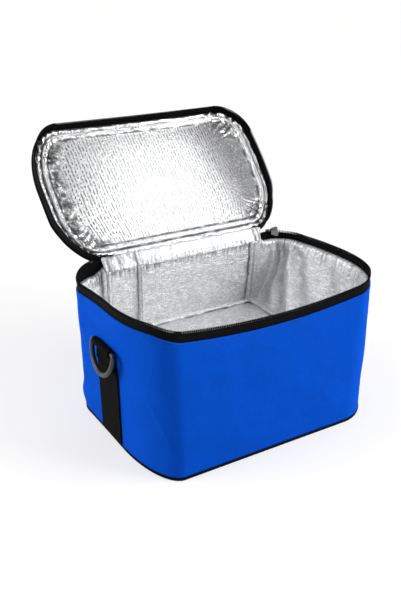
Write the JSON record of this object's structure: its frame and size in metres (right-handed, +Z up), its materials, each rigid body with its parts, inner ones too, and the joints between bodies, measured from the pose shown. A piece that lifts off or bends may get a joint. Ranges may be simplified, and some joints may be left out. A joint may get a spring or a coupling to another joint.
{
  "type": "insulated cooler bag",
  "caption": "Soft insulated cooler bag with foil lining, a zip-round lid hinged along the back, webbing D-ring loops on the ends and a carry handle on the lid.",
  "frame": {"origin": "middle of the base's underside, on the surface that the bag stands on", "axes": "+Z up, front at -Y, hinge of the lid along the back at +Y, width along X"},
  "size_m": [0.3208, 0.3445, 0.3018],
  "materials": {
    "blue_fabric": "fine matt woven polyester",
    "black_trim": "matt woven tape",
    "black_webbing": "ribbed webbing",
    "black_plastic": "satin moulded plastic",
    "zip_metal": "satin grey metal",
    "silver_foil": "crinkled embossed foil",
    "white_foam": "closed-cell foam"
  },
  "bodies": {
    "body": {"outer_wall": "blue_fabric", "base_panel": "blue_fabric", "base_piping": "black_trim", "wall_insulation": "white_foam", "base_insulation": "white_foam", "wall_lining": "silver_foil", "base_lining": "silver_foil", "base_seam_binding": "silver_foil", "back_seam_binding": "silver_foil", "corner_binding_left": "silver_foil", "corner_binding_right": "silver_foil", "hinge_panel": "blue_fabric", "hinge_lining": "silver_foil", "body_zip_tape": "black_trim", "body_zip_teeth": "black_plastic", "strap_webbing_left": "black_webbing", "strap_webbing_right": "black_webbing"},
    "lid": {"lid_panel": "blue_fabric", "lid_piping": "black_trim", "lid_insulation": "white_foam", "lid_lining": "silver_foil", "lid_seam_binding": "silver_foil", "lid_zip_tape": "black_trim", "lid_zip_teeth": "black_plastic", "lid_handle": "black_webbing", "handle_patch_left": "black_webbing", "handle_patch_right": "black_webbing", "lid_hinge_panel": "blue_fabric", "lid_hinge_lining": "silver_foil"},
    "slider": {"zip_slider": "zip_metal"},
    "pull": {"zip_pull": "zip_metal"},
    "ring_left": {"d_ring_left": "black_plastic"},
    "ring_right": {"d_ring_right": "black_plastic"}
  },
  "joints": [
    {"name": "lid_hinge", "type": "hinge", "parent": "body", "child": "lid", "pos_m": [0, 0.09315, 0.1711], "axis": [-1, 0, 0], "range_deg": [-137.5, 17.5]},
    {"name": "slider_travel", "type": "hinge", "parent": "body", "child": "slider", "pos_m": [0.114, 0.057, 0.1645], "axis": [0, 0, 1], "range_deg": [-64, 0]},
    {"name": "pull_swing", "type": "hinge", "parent": "slider", "child": "pull", "pos_m": [0.12859, 0.09311, 0.1645], "axis": [0.9272, -0.3746, 0], "range_deg": [0, 65]},
    {"name": "ring_left_swing", "type": "hinge", "parent": "body", "child": "ring_left", "pos_m": [-0.15364, -0.002, 0.1149], "axis": [0, 1, 0], "range_deg": [0, 140]},
    {"name": "ring_right_swing", "type": "hinge", "parent": "body", "child": "ring_right", "pos_m": [0.15364, -0.002, 0.1149], "axis": [0, -1, 0], "range_deg": [0, 140]}
  ]
}
